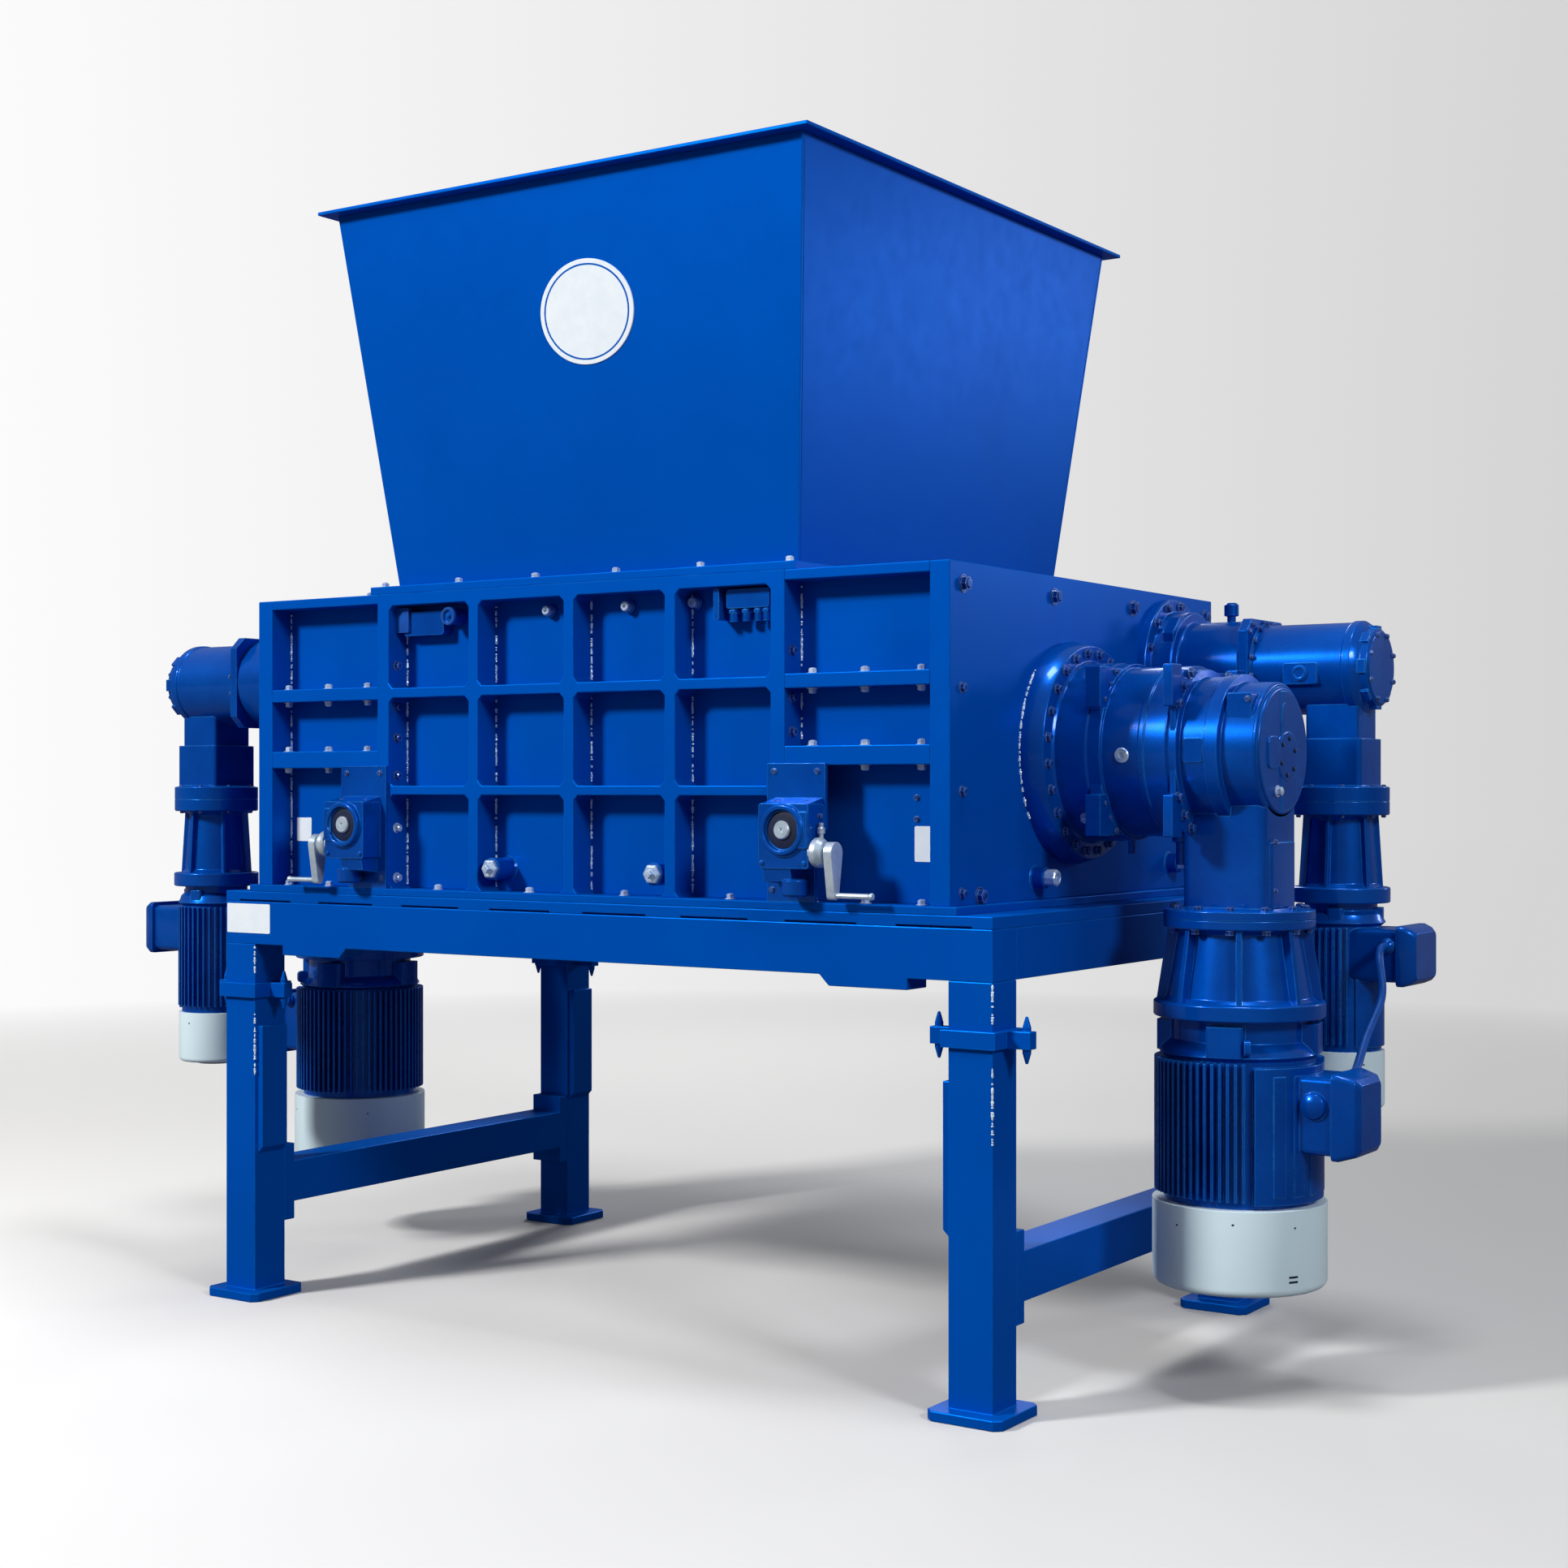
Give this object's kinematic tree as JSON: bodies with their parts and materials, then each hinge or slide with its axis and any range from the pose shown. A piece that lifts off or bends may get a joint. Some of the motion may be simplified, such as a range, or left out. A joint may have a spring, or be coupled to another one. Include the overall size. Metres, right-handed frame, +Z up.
{
  "type": "four shaft shredder",
  "caption": "Four shaft shredder: ribbed blue housing under a tapered hopper on a leg frame, with vertical motors on planetary gearboxes at both ends.",
  "frame": {"origin": "floor level under the middle of the machine", "axes": "+X along the machine towards the right end seen from the front, +Y from front to back, +Z up"},
  "size_m": [3.94, 1.74, 3.12],
  "materials": {
    "blue_paint": "gloss royal blue machine enamel over welded steel and castings",
    "pale_paint": "semi-gloss pale blue-white enamel on pressed steel",
    "bright_steel": "bright plated steel",
    "dark_steel": "ground tool steel, dull",
    "cable_sheath": "blue sheathed power cable"
  },
  "bodies": {
    "root": {"bay_covers": "blue_paint", "bay_shelves": "blue_paint", "bed_plate": "blue_paint", "crossbeams": "blue_paint", "front_beam": "blue_paint", "front_inner_rotor": "dark_steel", "front_left_leg": "blue_paint", "front_outer_rotor": "dark_steel", "front_panel": "blue_paint", "front_ribs": "blue_paint", "front_right_leg": "blue_paint", "hopper_flange": "blue_paint", "hopper_front_wall": "blue_paint", "hopper_left_wall": "blue_paint", "hopper_lip": "blue_paint", "hopper_rear_wall": "blue_paint", "hopper_right_wall": "blue_paint", "housing_base": "blue_paint", "large_fan_cowls": "pale_paint", "large_lanterns": "blue_paint", "left_crank_unit": "blue_paint", "left_end_plate": "blue_paint", "left_large_gearbox": "blue_paint", "left_large_motor": "blue_paint", "left_small_gearbox": "blue_paint", "left_small_motor": "blue_paint", "leg_collars": "blue_paint", "motor_cable": "cable_sheath", "partitions": "blue_paint", "rear_beam": "blue_paint", "rear_inner_rotor": "dark_steel", "rear_left_leg": "blue_paint", "rear_outer_rotor": "dark_steel", "rear_panel": "blue_paint", "rear_ribs": "blue_paint", "rear_right_leg": "blue_paint", "right_crank_unit": "blue_paint", "right_end_plate": "blue_paint", "right_large_gearbox": "blue_paint", "right_large_motor": "blue_paint", "right_small_gearbox": "blue_paint", "right_small_motor": "blue_paint", "side_beams": "blue_paint", "small_fan_cowls": "pale_paint", "small_lanterns": "blue_paint"},
    "left_crank": {"left_crank": "bright_steel"},
    "right_crank": {"right_crank": "bright_steel"}
  },
  "joints": [
    {"name": "left_crank_turn", "type": "hinge", "parent": "root", "child": "left_crank", "pos_m": [-0.85, -0.825, 1.34], "axis": [-1, 0, 0], "continuous": true},
    {"name": "right_crank_turn", "type": "hinge", "parent": "root", "child": "right_crank", "pos_m": [0.85, -0.825, 1.34], "axis": [1, 0, 0], "continuous": true}
  ]
}
